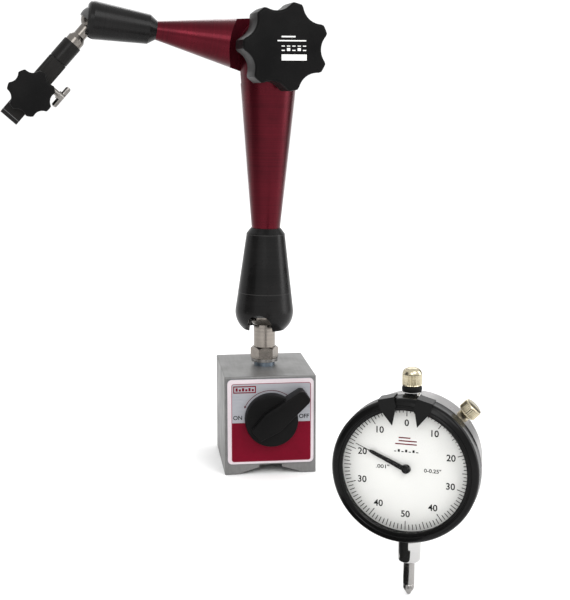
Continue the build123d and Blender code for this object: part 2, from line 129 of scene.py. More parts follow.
def closeUp():  # merge what meets and turn every face outwards
    bpy.ops.mesh.select_all(action="SELECT")
    bpy.ops.mesh.remove_doubles(threshold=mm / 1000)
    bpy.ops.mesh.normals_make_consistent(inside=False)


def turnPiece(name, profile, sides=96, ring=False, edge=0):  # profile is (radius, height) in mm
    points = [Vector((radius * mm, 0, height * mm)) for radius, height in profile]
    if ring:
        points.append(points[0].copy())
    piece = drawOutline(name, points)
    bpy.ops.mesh.select_all(action="SELECT")
    bpy.ops.mesh.spin(steps=sides, angle=2 * pi, center=(0, 0, 0), axis=(0, 0, 1))
    closeUp()
    if edge:
        roundEdges(piece, edge)
    return piece


def platePiece(name, outline, low, high, edge=0, segments=2, angle=32):  # outline is (x, y) in mm
    points = [Vector((x * mm, y * mm, low * mm)) for x, y in outline]
    piece = drawOutline(name, points)
    bpy.ops.mesh.select_all(action="SELECT")
    bpy.ops.mesh.edge_face_add()
    bpy.ops.mesh.extrude_region_move(TRANSFORM_OT_translate={"value": (0, 0, (high - low) * mm)})
    closeUp()
    if edge:
        roundEdges(piece, edge, segments, angle)
    return piece


def blockPiece(name, low, high):  # corners in mm
    deselectAll()
    lowCorner, highCorner = Vector(low) * mm, Vector(high) * mm
    bpy.ops.mesh.primitive_cube_add(size=1, location=(lowCorner + highCorner) / 2,
                                    scale=highCorner - lowCorner)
    piece = bpy.context.object
    piece.name = name
    bpy.ops.object.transform_apply(location=True, rotation=True, scale=True)
    return piece


def selectPoints(piece, test):  # test gets each point in mm
    bpy.ops.object.mode_set(mode="EDIT")
    bpy.ops.mesh.select_all(action="DESELECT")
    bpy.ops.mesh.select_mode(type="VERT")
    bpy.ops.object.mode_set(mode="OBJECT")
    for vertex in piece.data.vertices:
        vertex.select = test(vertex.co / mm)
    bpy.ops.object.mode_set(mode="EDIT")


def knurl(piece, radius, depth, teeth, low, high):  # presses in every second line of points
    rimReach = 0.02
    pick(piece)

    def isValley(spot):
        angle = (Vector((spot.x, spot.y)).angle_signed(Vector((1, 0)), 0) / (2 * pi)) % 1
        onRim = abs(Vector((spot.x, spot.y)).length - radius) < rimReach
        return onRim and low < spot.z < high and round(angle * teeth * 2) % 2 == 1

    selectPoints(piece, isValley)
    shrink = 1 - depth / radius
    bpy.ops.transform.resize(value=(shrink, shrink, 1), center_override=(0, 0, 0))
    bpy.ops.object.mode_set(mode="OBJECT")


def cutAway(piece, cutter):
    applyModifier(piece, "BOOLEAN", operation="DIFFERENCE", object=cutter, solver="EXACT")
    bpy.data.objects.remove(cutter, do_unlink=True)


def joinAll(name, pieces):
    deselectAll()
    for piece in pieces:
        piece.select_set(True)
    bpy.context.view_layer.objects.active = pieces[0]
    bpy.ops.object.join()
    pieces[0].name = name
    return pieces[0]


def turnAbout(piece, degrees):
    pick(piece)
    piece.matrix_world = Matrix.Rotation(radians(degrees), 4, "Z") @ piece.matrix_world
    bpy.ops.object.transform_apply(location=True, rotation=True, scale=True)
    return piece


def settle(piece, seat, finish, node, replaced=(), smooth=35):  # puts it in place, riding with node
    pick(piece)
    piece.matrix_world = seat @ piece.matrix_world
    bpy.ops.object.transform_apply(location=True, rotation=True, scale=True)
    bpy.ops.object.shade_smooth_by_angle(angle=radians(smooth))
    piece.data.materials.clear()
    piece.data.materials.append(finish)
    piece.data.name = piece.name
    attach(piece, bodyOf[node])
    if replaced:
        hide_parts(*replaced)
    return piece


# finishes

finishDefaults = {"metal": 0, "coat": 0, "coatRough": 0.1, "specular": 0.5, "turned": False,
                  "stretch": (1, 1, 1), "cloud": 60, "bump": 0.2, "relief": 0.02, "grainDetail": 6,
                  "grainRough": 0.6, "cloudDetail": 4, "tintFrom": 0.12, "tintTo": 0.42,
                  "shineFrom": 0.3, "shineTo": 0.7}


def makeFinish(name, look, seat=homeSeat):
    look = {**finishDefaults, **look}
    material = bpy.data.materials.new(name)
    material.use_nodes = True
    nodes, links = material.node_tree.nodes, material.node_tree.links
    shader = nodes["Principled BSDF"]
    shader.inputs["Metallic"].default_value = look["metal"]
    shader.inputs["Coat Weight"].default_value = look["coat"]
    shader.inputs["Coat Roughness"].default_value = look["coatRough"]
    shader.inputs["Specular IOR Level"].default_value = look["specular"]

    spot = nodes.new("ShaderNodeTexCoord")
    place = nodes.new("ShaderNodeMapping")
    back = seat.inverted()
    place.inputs["Location"].default_value = back.to_translation()
    place.inputs["Rotation"].default_value = back.to_euler()
    links.new(spot.outputs["Object"], place.inputs["Vector"])
    where = place.outputs["Vector"]
    if look["turned"]:  # marks run round the local z axis
        apart = nodes.new("ShaderNodeSeparateXYZ")
        flat = nodes.new("ShaderNodeVectorMath")
        flat.operation = "MULTIPLY"
        flat.inputs[1].default_value = (1, 1, 0)
        reach = nodes.new("ShaderNodeVectorMath")
        reach.operation = "LENGTH"
        joined = nodes.new("ShaderNodeCombineXYZ")
        links.new(where, apart.inputs[0])
        links.new(where, flat.inputs[0])
        links.new(flat.outputs[0], reach.inputs[0])
        links.new(reach.outputs["Value"], joined.inputs["X"])
        links.new(apart.outputs["Z"], joined.inputs["Y"])
        grainWhere = joined.outputs[0]
    else:
        stretch = nodes.new("ShaderNodeVectorMath")
        stretch.operation = "MULTIPLY"
        stretch.inputs[1].default_value = look["stretch"]
        links.new(where, stretch.inputs[0])
        grainWhere = stretch.outputs[0]

    grain = nodes.new("ShaderNodeTexNoise")
    grain.inputs["Scale"].default_value = look["grain"]
    grain.inputs["Detail"].default_value = look["grainDetail"]
    grain.inputs["Roughness"].default_value = look["grainRough"]
    links.new(grainWhere, grain.inputs["Vector"])
    cloud = nodes.new("ShaderNodeTexNoise")
    cloud.inputs["Scale"].default_value = look["cloud"]
    cloud.inputs["Detail"].default_value = look["cloudDetail"]
    links.new(where, cloud.inputs["Vector"])

    blend = nodes.new("ShaderNodeMix")
    blend.data_type = "RGBA"
    blend.inputs["A"].default_value = (*look["color"], 1)
    blend.inputs["B"].default_value = (*look["tint"], 1)
    mixed = nodes.new("ShaderNodeMath")
    mixed.operation = "MULTIPLY"
    links.new(grain.outputs["Fac"], mixed.inputs[0])
    links.new(cloud.outputs["Fac"], mixed.inputs[1])
    spread = nodes.new("ShaderNodeMapRange")
    spread.inputs["From Min"].default_value = look["tintFrom"]
    spread.inputs["From Max"].default_value = look["tintTo"]
    links.new(mixed.outputs[0], spread.inputs["Value"])
    links.new(spread.outputs[0], blend.inputs["Factor"])
    links.new(blend.outputs["Result"], shader.inputs["Base Color"])

    shine = nodes.new("ShaderNodeMapRange")
    shine.inputs["From Min"].default_value = look["shineFrom"]
    shine.inputs["From Max"].default_value = look["shineTo"]
    shine.inputs["To Min"].default_value = look["rough"][0]
    shine.inputs["To Max"].default_value = look["rough"][1]
    links.new(cloud.outputs["Fac"], shine.inputs["Value"])
    links.new(shine.outputs[0], shader.inputs["Roughness"])

    bump = nodes.new("ShaderNodeBump")
    bump.inputs["Strength"].default_value = look["bump"]
    bump.inputs["Distance"].default_value = look["relief"] * mm
    links.new(grain.outputs["Fac"], bump.inputs["Height"])
    links.new(bump.outputs[0], shader.inputs["Normal"])
    return material


groundIron = {"color": (0.178, 0.177, 0.174), "tint": (0.135, 0.134, 0.132), "metal": 0.5,
              "rough": (0.38, 0.52), "grain": 900, "stretch": (1, 0.06, 0.4), "bump": 0.35,
              "relief": 0.03, "specular": 0.3}
brassLook = {"color": (0.50, 0.36, 0.16), "tint": (0.36, 0.25, 0.10), "metal": 1, "rough": (0.28, 0.4),
             "grain": 1500, "bump": 0.2}
paleBrass = {"color": (0.56, 0.51, 0.385), "tint": (0.38, 0.335, 0.23), "metal": 1, "rough": (0.16, 0.3),
             "grain": 1800, "turned": True, "bump": 0.3}
zincLook = {"color": (0.27, 0.32, 0.37), "tint": (0.18, 0.22, 0.27), "metal": 1, "rough": (0.24, 0.36),
            "grain": 1600, "turned": True, "bump": 0.3}
nickelLook = {"color": (0.30, 0.27, 0.24), "tint": (0.17, 0.155, 0.14), "metal": 1, "rough": (0.18, 0.3),
              "grain": 1700, "turned": True, "bump": 0.4}
ballLook = {"color": (0.19, 0.175, 0.16), "tint": (0.12, 0.11, 0.10), "metal": 1, "rough": (0.22, 0.34),
            "grain": 1200, "bump": 0.2}
chromeLook = {"color": (0.50, 0.495, 0.49), "tint": (0.42, 0.415, 0.41), "metal": 1, "rough": (0.05, 0.1),
              "grain": 2600, "turned": True, "bump": 0.06}
steelLook = {"color": (0.36, 0.35, 0.34), "tint": (0.24, 0.23, 0.22), "metal": 1, "rough": (0.18, 0.3),
             "grain": 2000, "turned": True, "bump": 0.2}
plasticLook = {"color": (0.0038, 0.0038, 0.0039), "tint": (0.0075, 0.0072, 0.0072), "rough": (0.34, 0.46),
               "grain": 2400, "bump": 0.35, "relief": 0.03, "specular": 0.045}
socketLook = {"color": (0.004, 0.004, 0.004), "tint": (0.009, 0.0085, 0.0085), "rough": (0.22, 0.34),
              "grain": 1500, "turned": True, "bump": 0.3, "specular": 0.13}
oxideLook = {"color": (0.0055, 0.0052, 0.005), "tint": (0.013, 0.012, 0.011), "rough": (0.3, 0.45),
             "grain": 1300, "stretch": (1, 1, 0.15), "bump": 0.3, "specular": 0.12}
redLook = {"color": (0.082, 0.0035, 0.0095), "tint": (0.046, 0.0022, 0.006), "metal": 0.8,
           "rough": (0.24, 0.34), "grain": 1400, "turned": True, "bump": 0.25, "coat": 0.04,
           "coatRough": 0.2, "specular": 0.25}
caseLook = {"color": (0.34, 0.33, 0.33), "tint": (0.25, 0.245, 0.245), "metal": 1, "rough": (0.26, 0.38),
            "grain": 1600, "turned": True, "bump": 0.25}
enamelLook = {"color": (0.003, 0.003, 0.003), "tint": (0.005, 0.005, 0.005), "rough": (0.14, 0.24),
              "grain": 1200, "bump": 0.12, "specular": 0.10}
dialLook = {"color": (0.77, 0.77, 0.745), "tint": (0.74, 0.74, 0.715), "rough": (0.42, 0.52),
            "grain": 2500, "bump": 0.06}
inkLook = {"color": (0.006, 0.006, 0.006), "tint": (0.010, 0.010, 0.010), "rough": (0.45, 0.55),
           "grain": 2500, "bump": 0.1, "specular": 0.15}
rubberLook = {"color": (0.005, 0.005, 0.005), "tint": (0.009, 0.009, 0.009), "rough": (0.5, 0.65),
              "grain": 1500, "bump": 0.3, "specular": 0.1}
whiteLook = {"color": (0.75, 0.75, 0.73), "tint": (0.66, 0.66, 0.63), "rough": (0.4, 0.5),
             "grain": 1500, "bump": 0.1}
linerLook = {"color": (0.05, 0.05, 0.05), "tint": (0.07, 0.07, 0.07), "rough": (0.4, 0.5),
             "grain": 1500, "bump": 0.1}
foilLook = {"color": (0.34, 0.345, 0.37), "tint": (0.28, 0.285, 0.31), "metal": 0.3, "rough": (0.3, 0.4),
            "grain": 1800, "stretch": (0.08, 1, 1), "bump": 0.1}
borderLook = {"color": (0.56, 0.50, 0.52), "tint": (0.50, 0.43, 0.46), "rough": (0.35, 0.45), "grain": 1800,
              "bump": 0.06}
redInkLook = {"color": (0.145, 0.003, 0.014), "tint": (0.11, 0.0025, 0.011), "rough": (0.28, 0.38),
              "grain": 1600, "bump": 0.06, "specular": 0.05}
crystalLook = {"color": (0.02, 0.02, 0.02), "tint": (0.03, 0.03, 0.03), "rough": (0.02, 0.05), "grain": 800,
               "bump": 0.01, "specular": 0.15}
ferriteLook = {"color": (0.06, 0.06, 0.06), "tint": (0.1, 0.1, 0.1), "rough": (0.5, 0.7),
               "grain": 900, "bump": 0.4}

finishes = {
    "base_paint": makeFinish("ground iron", groundIron),
    "divider_metal": makeFinish("ground spacer", {**groundIron, "color": (0.165, 0.165, 0.162)}),
    "bush_brass": makeFinish("machined brass", brassLook),
    "label_print": makeFinish("silver foil", foilLook),
    "zinc": makeFinish("clear zinc", zincLook),
    "bright_steel": makeFinish("bright steel", {**steelLook, "turned": False}),
    "ball_steel": makeFinish("ground ball steel", ballLook),
    "knob_plastic": makeFinish("black moulding", plasticLook),
    "magnet": makeFinish("ferrite", ferriteLook),
    "liner_plastic": makeFinish("dark liner", linerLook),
    "black_socket": makeFinish("black coated socket", socketLook, lowerSeat),
    "arm_red": makeFinish("red anodised", redLook, lowerSeat),
    "pad_steel": makeFinish("hardened pad", ballLook),
    "black_steel": makeFinish("black oxide", oxideLook, holderSeat),
    "spring_steel": makeFinish("spring wire", {**steelLook, "turned": False}),
    "case_silver": makeFinish("satin case", caseLook, faceSeat),
    "stem_chrome": makeFinish("polished chrome", chromeLook, stemSeat),
    "seal_rubber": makeFinish("black rubber", rubberLook),
    "cap_brass": makeFinish("pale brass", {**paleBrass, "turned": False}),
    "bezel_black": makeFinish("black enamel", enamelLook, faceSeat),
    "crystal_clear": makeFinish("clear crystal", crystalLook),
    "dial_white": makeFinish("white dial", dialLook),
    "pointer_black": makeFinish("matt black", inkLook),
}
redInk = makeFinish("red print", redInkLook)
borderInk = makeFinish("pale rose border", borderLook)
darkRose = makeFinish("dark rose print", {**redInkLook, "color": (0.09, 0.012, 0.018),
                                          "tint": (0.07, 0.01, 0.014)})
darkInk = makeFinish("black print", inkLook)
roseInk = makeFinish("rose line print", {**redInkLook, "color": (0.24, 0.05, 0.075),
                                         "tint": (0.2, 0.04, 0.06)})
whiteInk = makeFinish("white print", whiteLook)
clearShader = finishes["crystal_clear"].node_tree.nodes["Principled BSDF"]
clearShader.inputs["Alpha"].default_value = 0.05
finishes["crystal_clear"].surface_render_method = "BLENDED"
upperSocketFinish = makeFinish("black coated upper socket", socketLook, upperSeat)
upperArmFinish = makeFinish("red anodised upper arm", redLook, upperSeat)
nickelFinish = makeFinish("turned nickel", nickelLook)
dullScrew = makeFinish("dull screw steel", {**steelLook, "color": (0.25, 0.24, 0.225),
                                            "tint": (0.17, 0.16, 0.15)})
ownFinish = {"upper_socket": upperSocketFinish, "upper_arm": upperArmFinish, "stud_nut": nickelFinish,
             "base_ball_stud": nickelFinish, "stud_collar": finishes["zinc"],
             "fine_hinge_pin": makeFinish("black hinge pin", oxideLook, holderSeat),
             "fine_screw": dullScrew, "fine_screw_bar": dullScrew}
for node, piece in frame["nodes"].items():
    piece.data.materials.clear()
    piece.data.materials.append(ownFinish.get(node) or finishes[slotOf[node]])
print("finishes ready")


# studio

middle = (-0.02, -0.05, 0.12)
studio = {
    "floorSize": 80, "floorDrop": 0.0002, "floorColor": (0.95, 0.95, 0.95), "floorTint": (0.93, 0.93, 0.93),
    "sky": (1.0, 1.0, 1.0), "skyStrength": 1.1,
    "cameraSpot": (-0.0751, -0.688, 0.2074), "cameraTilt": (80.48, 0, -7.19), "lens": 75.2, "sensor": 36,
    "lights": (("keyLight", (0.5, -1.2, 1.2), middle, 0.6, 0.9, 9),
               ("fillLight", (-0.25, -1.3, 0.75), middle, 0.5, 0.5, 4),
               ("sideLight", (1.2, -0.2, 0.5), middle, 0.4, 1.0, 6),
               ("backLight", (0.1, 1.3, 1.1), middle, 1.4, 0.6, 6)),
    "flags": (("leftFlag", (-0.85, -0.30, 0.20), middle, 0.75, 1.1),
              ("rightFlag", (0.80, 0.35, 0.20), middle, 0.35, 1.1),
              ("stemFlag", (-0.002, -0.2315, 0.015), (0.038, -0.2315, 0.015), 0.13, 0.03),
              ("stemBackFlag", (0.047, -0.166, 0.014), (0.038, -0.203, 0.014), 0.02, 0.028),
              ("stemFloorFlag", (-0.012, -0.245, 0.0004), None, 0.09, 0.13)),
}
floorLook = {"color": studio["floorColor"], "tint": studio["floorTint"], "rough": (0.6, 0.7), "grain": 40,
             "bump": 0.02, "specular": 0.2}
clothLook = {"color": (0.02, 0.02, 0.02), "tint": (0.03, 0.03, 0.03), "rough": (0.8, 0.9), "grain": 40,
             "bump": 0.02, "specular": 0}


def addLight(name, spot, target, width, height, power):
    deselectAll()
    bpy.ops.object.light_add(type="AREA", location=spot)
    lamp = bpy.context.object
    lamp.name = name
    lamp.data.shape = "RECTANGLE"
    lamp.data.size, lamp.data.size_y = width, height
    lamp.data.energy = power
    lamp.rotation_euler = (Vector(target) - Vector(spot)).to_track_quat("-Z", "Y").to_euler()


def addFlag(name, spot, target, width, height):  # a dark card that only reflections see
    deselectAll()
    bpy.ops.mesh.primitive_plane_add(size=1, location=spot)
    card = bpy.context.object
    card.name = name
    card.scale = (width, height, 1)
    if target:
        level = Vector((target[0], target[1], spot[2]))
        card.rotation_euler = (level - Vector(spot)).to_track_quat("Z", "Y").to_euler()
    card.data.materials.append(makeFinish(name + " cloth", clothLook))
    card.visible_camera = card.visible_diffuse = card.visible_shadow = card.visible_transmission = False


def makeStudio():
    deselectAll()
    bpy.ops.mesh.primitive_plane_add(size=studio["floorSize"], location=(0, 0, -studio["floorDrop"]))
    floor = bpy.context.object
    floor.name = "floor"
    floor.data.materials.append(makeFinish("pale floor", floorLook))
    world = bpy.data.worlds.new("studio air")
    bpy.context.scene.world = world
    world.use_nodes = True
    air = world.node_tree.nodes["Background"]
    air.inputs["Color"].default_value = (*studio["sky"], 1)
    air.inputs["Strength"].default_value = studio["skyStrength"]
    for light in studio["lights"]:
        addLight(*light)
    for flag in studio["flags"]:
        addFlag(*flag)
    deselectAll()
    bpy.ops.object.camera_add(location=studio["cameraSpot"],
                              rotation=[radians(a) for a in studio["cameraTilt"]])
    camera = bpy.context.object
    camera.name = "studioCamera"
    camera.data.lens = studio["lens"]
    camera.data.sensor_width = studio["sensor"]
    bpy.context.scene.camera = camera
    bpy.context.scene.view_settings.view_transform = "Standard"


makeStudio()
print("studio ready")


# magnetic base: label print and switch knob

label = {
    "front": -30.8, "print": 0.05, "left": -21.4, "right": 22.0, "bottom": 7.2, "top": 50.9, "corner": 1.4,
    "redTop": 29.1, "line": 0.32, "arcRadius": 15.5, "arcFrom": 50, "arcTo": 153, "arcSteps": 24,
    "headLong": 1.3, "headHalf": 0.75, "plateCorner": 0.1, "borderDrop": 0.02, "fieldDrop": 0.01,
    "words": (("label_on", "ON", -18.0), ("label_off", "OFF", 18.2)), "wordLevel": 31.9, "wordHeight": 3.2,
    "markFrame": (-20.4, -8.0, 45.6, 49.6, 0.3), "markHole": (-19.8, -8.6, 46.2, 49.0, 0.2),
    "bars": {"count": 6, "left": -19.1, "step": 1.75, "width": 1.15, "bottom": 46.7, "top": 48.5,
             "drop": 0.6},
    "plate": {"left": -23.5, "right": 23.5, "bottom": 6.1, "top": 53.1, "corner": 2.4},
}


def roundedBox(left, right, bottom, top, corner):
    steps = 5
    points = []
    for x, y, start in ((right - corner, top - corner, 0), (left + corner, top - corner, 90),
                        (left + corner, bottom + corner, 180), (right - corner, bottom + corner, 270)):
        for step in range(steps + 1):
            angle = radians(start + 90 * step / steps)
            points.append((x + corner * cos(angle), y + corner * sin(angle)))
    return points


def printWord(name, word, x, y, low, high, size, finish, seat, node, wide=1.0):
    weight = 0.018  # how far the strokes grow, as a share of the size
    deselectAll()
    bpy.ops.object.text_add(location=(0, 0, 0))
    piece = bpy.context.object
    piece.data.body = word
    piece.data.align_x = "CENTER"
    piece.data.align_y = "CENTER"
    piece.data.size = size * mm
    piece.data.resolution_u = 4
    piece.data.offset = weight * size * mm
    piece.data.extrude = (high - low) / 2 * mm
    bpy.ops.object.convert(target="MESH")
    piece = bpy.context.object
    piece.name = name
    piece.location = (x * mm, y * mm, (low + high) / 2 * mm)
    piece.scale = (wide, 1, 1)
    bpy.ops.object.transform_apply(location=True, rotation=True, scale=True)
    bpy.ops.object.mode_set(mode="EDIT")
    closeUp()
    bpy.ops.object.mode_set(mode="OBJECT")
    return settle(piece, seat, finish, node)


def makeLabel():
    low = -label["front"]
    high = low + label["print"]
    frontSeat = seatAt(Vector((0, 0, 0)), Vector((0, -1, 0)), upward)  # x right, y up, z out of the plate
    line = label["line"]
    rim = [roundedBox(side["left"], side["right"], side["bottom"], side["top"], side["corner"])
           for side in (label["plate"], {**label, "corner": label["corner"] + label["plateCorner"]})]
    edging = platePiece("label_border", rim[0], low, high - label["borderDrop"])
    cutAway(edging, platePiece("window", rim[1], low - 1, high + 1))
    settle(edging, frontSeat, borderInk, "label_plate")
    outer = roundedBox(label["left"], label["right"], label["bottom"], label["top"], label["corner"])
    inner = roundedBox(label["left"] + line, label["right"] - line, label["bottom"] + line,
                       label["top"] - line, label["corner"] - line)
    border = platePiece("label_line", outer, low, high)
    cutAway(border, platePiece("hole", inner, low - 1, high + 1))
    settle(border, frontSeat, roseInk, "label_plate")
    field = [(label["right"] - line, label["redTop"]), (label["left"] + line, label["redTop"])]
    field += [spot for spot in inner if spot[1] < label["redTop"]]
    settle(platePiece("label_red_field", field, low, high - label["fieldDrop"]), frontSeat, redInk,
           "label_plate")

    centre = pivotOf("switch_turn").z / mm
    reach, half = label["arcRadius"], line / 2
    steps = label["arcSteps"]
    angles = [label["arcFrom"] + (label["arcTo"] - label["arcFrom"]) * i / steps for i in range(steps + 1)]
    arc = [((reach + half) * cos(radians(a)), centre + (reach + half) * sin(radians(a))) for a in angles]
    arc += [((reach - half) * cos(radians(a)), centre + (reach - half) * sin(radians(a)))
            for a in reversed(angles)]
    arrow = [platePiece("arc", arc, low, high)]
    for angle, way in ((label["arcFrom"], -1), (label["arcTo"], 1)):
        along = radians(angle)
        root = Vector((reach * cos(along), centre + reach * sin(along)))
        tip = root + way * label["headLong"] * Vector((-sin(along), cos(along)))
        wing = label["headHalf"] * Vector((cos(along), sin(along)))
        arrow.append(platePiece("head", [tip, root + wing, root - wing], low, high))
    settle(joinAll("label_turn_arrow", arrow), frontSeat, darkRose, "label_plate")
    for name, word, x in label["words"]:
        printWord(name, word, x, label["wordLevel"], low, high, label["wordHeight"], darkInk, frontSeat,
                  "label_plate")
    marks = [platePiece("mark_frame", roundedBox(*label["markFrame"]), low, high)]
    cutAway(marks[0], platePiece("mark_hole", roundedBox(*label["markHole"]), low - 1, high + 1))
    bars = label["bars"]
    for i in range(bars["count"]):
        left = bars["left"] + bars["step"] * i
        marks.append(blockPiece("mark", (left, bars["bottom"], low),
                                (left + bars["width"], bars["top"] - bars["drop"] * (i % 2), high)))
    settle(joinAll("label_mark", marks), frontSeat, redInk, "label_plate")


switch = {"radius": 14.3, "back": 31.1, "face": 38.0, "top": 42.0, "reach": 23.8, "turn": 38, "tail": 11.5,
          "rootHalf": 6.3, "tipHalf": 3.9, "tipCorner": 1.4, "rim": 1.2, "rimBend": 0.35, "sides": 128,
          "gripEdge": 0.8}


def makeSwitchKnob():
    s = switch
    rim, bend = s["rim"], s["rimBend"]
    disc = turnPiece("disc", [(0, s["back"]), (s["radius"], s["back"]), (s["radius"], s["face"] - rim),
                              (s["radius"] - bend, s["face"] - bend), (s["radius"] - rim, s["face"]),
                              (0, s["face"])], sides=s["sides"])
    grip = [(-s["tail"], s["tipHalf"]), (0, s["rootHalf"]), (s["reach"] - s["tipCorner"], s["tipHalf"]),
            (s["reach"], s["tipHalf"] - s["tipCorner"]), (s["reach"], s["tipCorner"] - s["tipHalf"]),
            (s["reach"] - s["tipCorner"], -s["tipHalf"]), (0, -s["rootHalf"]), (-s["tail"], -s["tipHalf"])]
    grip = turnAbout(platePiece("grip", grip, s["back"], s["top"], edge=s["gripEdge"], segments=4), s["turn"])
    settle(joinAll("switch_knob_moulding", [disc, grip]), switchSeat, finishes["knob_plastic"], "switch_knob",
           ("switch_knob",))


makeLabel()
makeSwitchKnob()
print("base ready")


# star knobs

elbowKnob = {"tip": 22.6, "root": 18.5, "lobes": 7, "back": 20.0, "front": 42.0, "phase": 22.7, "edge": 1.5,
             "hub": 13.0, "hubHole": 8.0, "hubSink": 1, "hubEdge": 0.4, "seat": 17.3}
clampKnob = {"tip": 12.1, "root": 10.1, "lobes": 7, "back": 7.6, "front": 17.0, "phase": 24.0, "edge": 1.0,
             "seat": 7.6}
starShape = {"flute": 2.4, "soft": 0.14, "perLobe": 18}  # flute and soft are shares of the lobe's height
knobPrint = {"sink": 0.02, "rise": 0.04, "marks": 5, "left": -2.7, "step": 2.8, "width": 1.7,
             "tall": (-2.2, -1.7, 0.9), "low": (0.0, 0.45),
             "bars": ((-2.7, -7.0, 10.5, -4.0), (-2.7, 4.6, 4.6, 5.3), (-4.8, 2.6, 10.2, 3.2))}


def starOutline(k):
    flute = (k["tip"] - k["root"]) * starShape["flute"]
    centre = k["root"] + flute
    soft = (k["tip"] - k["root"]) * starShape["soft"]
    step = 360 / k["lobes"]
    perLobe = starShape["perLobe"]
    points = []
    for i in range(k["lobes"] * perLobe):
        angle = i * step / perLobe
        off = radians(abs((angle % step) - step / 2))
        reach = k["tip"] * 2
        if centre * sin(off) < flute:
            reach = min(reach, centre * cos(off) - sqrt(flute ** 2 - (centre * sin(off)) ** 2))
        reach = k["root"] - soft * log(exp((k["root"] - reach) / soft) + exp((k["root"] - k["tip"]) / soft))
        spot = radians(angle + k["phase"])
        points.append((reach * cos(spot), reach * sin(spot)))
    return points


def makeStarKnob(name, k, seat, node):
    star = platePiece("star", starOutline(k), k["back"], k["front"], edge=k["edge"], segments=4, angle=50)
    parts = [star]
    if k["seat"] < k["back"]:
        low, high = k["seat"], k["back"] + k["hubSink"]
        parts.append(turnPiece("hub", [(k["hubHole"], low), (k["hub"], low), (k["hub"], high),
                                       (k["hubHole"], high)], ring=True, edge=k["hubEdge"]))
    return settle(joinAll(name, parts), seat, finishes["knob_plastic"], node, (node,))


def makeKnobPrint():
    p = knobPrint
    low, high = elbowKnob["front"] - p["sink"], elbowKnob["front"] + p["rise"]
    marks = [blockPiece("bar", (left, bottom, low), (right, top, high))
             for left, bottom, right, top in p["bars"]]
    for i in range(p["marks"]):
        left = p["left"] + p["step"] * i
        right = left + p["width"]
        bottom, top, rise = p["tall"]
        marks.append(blockPiece("mark", (left, bottom, low), (right, top + rise * (i % 2), high)))
        bottom, top = p["low"]
        marks.append(blockPiece("mark", (left, bottom, low), (right, top, high)))
    settle(joinAll("elbow_knob_print", marks), elbowSeat, whiteInk, "elbow_knob")


makeStarKnob("elbow_knob_star", elbowKnob, elbowSeat, "elbow_knob")
makeStarKnob("clamp_knob_star", clampKnob, clampSeat, "clamp_knob")
makeKnobPrint()
print("star knobs ready")


# indicator holder

slit = {"radius": 4.95, "top": 27.4, "bottom": 28.15, "sides": 48}
crossBar = {"x": -13.4, "station": 41.4, "radius": 1.5, "half": 6.4, "round": 0.9, "sides": 36}
jawHighlight = {"front": -6.5, "station": 65.5, "half": 4.9, "width": 0.35, "rise": 0.03, "sink": 0.1}


def makeSlitFilling():  # a dark plug closing most of the slit under the upper block: painted shade standing in for the dark gap
    slitShade = turnPiece("fine_slit_painted_shade", [(0, slit["top"]), (slit["radius"], slit["top"]),
                                              (slit["radius"], slit["bottom"]), (0, slit["bottom"])],
                        sides=slit["sides"])
    settle(slitShade, holderSeat, finishes[slotOf["fine_upper_block"]], "fine_upper_block")


def makeCrossBar():  # the handle through the fine screw
    reach, bend, radius = crossBar["half"], crossBar["round"], crossBar["radius"]
    bar = turnPiece("fine_cross_bar", [(0, -reach), (radius - bend, -reach),
                                       (radius - bend / 3, bend / 3 - reach), (radius, bend - reach),
                                       (radius, reach - bend), (radius - bend / 3, reach - bend / 3),
                                       (radius - bend, reach), (0, reach)], sides=crossBar["sides"])
    barSeat = holderSeat @ Matrix.Translation((crossBar["x"] * mm, 0, crossBar["station"] * mm))
    settle(bar, barSeat, dullScrew, "fine_screw_bar", ("fine_screw_bar",))


def makeJawLine():  # a bright steel strip near the jaw's end: painted highlight standing in for the bright edge line
    highlightSteel = makeFinish("painted jaw highlight", {**steelLook, "color": (0.16, 0.16, 0.16),
                                              "tint": (0.09, 0.09, 0.09)})
    line = blockPiece("jaw_painted_highlight", (-jawHighlight["half"], jawHighlight["front"] - jawHighlight["rise"], jawHighlight["station"]),
                      (jawHighlight["half"], jawHighlight["front"] + jawHighlight["sink"],
                       jawHighlight["station"] + jawHighlight["width"]))
    settle(line, holderSeat, highlightSteel, "stem_clamp")


makeSlitFilling()
makeCrossBar()
makeJawLine()
print("holder ready")


# lower socket: lighter rings painted as highlights, one along the real seam under its sleeve and one on the turned
# edge above it

seam = {"half": 0.12, "depth": 0.5, "rise": 0.03, "sides": 128,
        "rings": (("lower_socket_seam_highlight", 10.9, 14.88, "lower_socket"),
                  ("lower_sleeve_edge_highlight", 43.2, 10.68, "lower_sleeve"))}
# lighter than the socket's black: painted highlight along the seam and the sleeve edge
seamHighlightFinish = makeFinish("painted seam highlight", {**socketLook, "color": (0.045, 0.043, 0.042),
                                      "tint": (0.02, 0.02, 0.02)}, lowerSeat)


def makeSeam(name, station, radius, node):
    inside, outside = radius - seam["depth"], radius + seam["rise"]
    low, high = station - seam["half"], station + seam["half"]
    ring = turnPiece(name, [(inside, low), (outside, low), (outside, high), (inside, high)],
                     sides=seam["sides"], ring=True)
    settle(ring, lowerSeat, seamHighlightFinish, node)


for ring in seam["rings"]:
    makeSeam(*ring)
print("socket seams ready")


# dial indicator

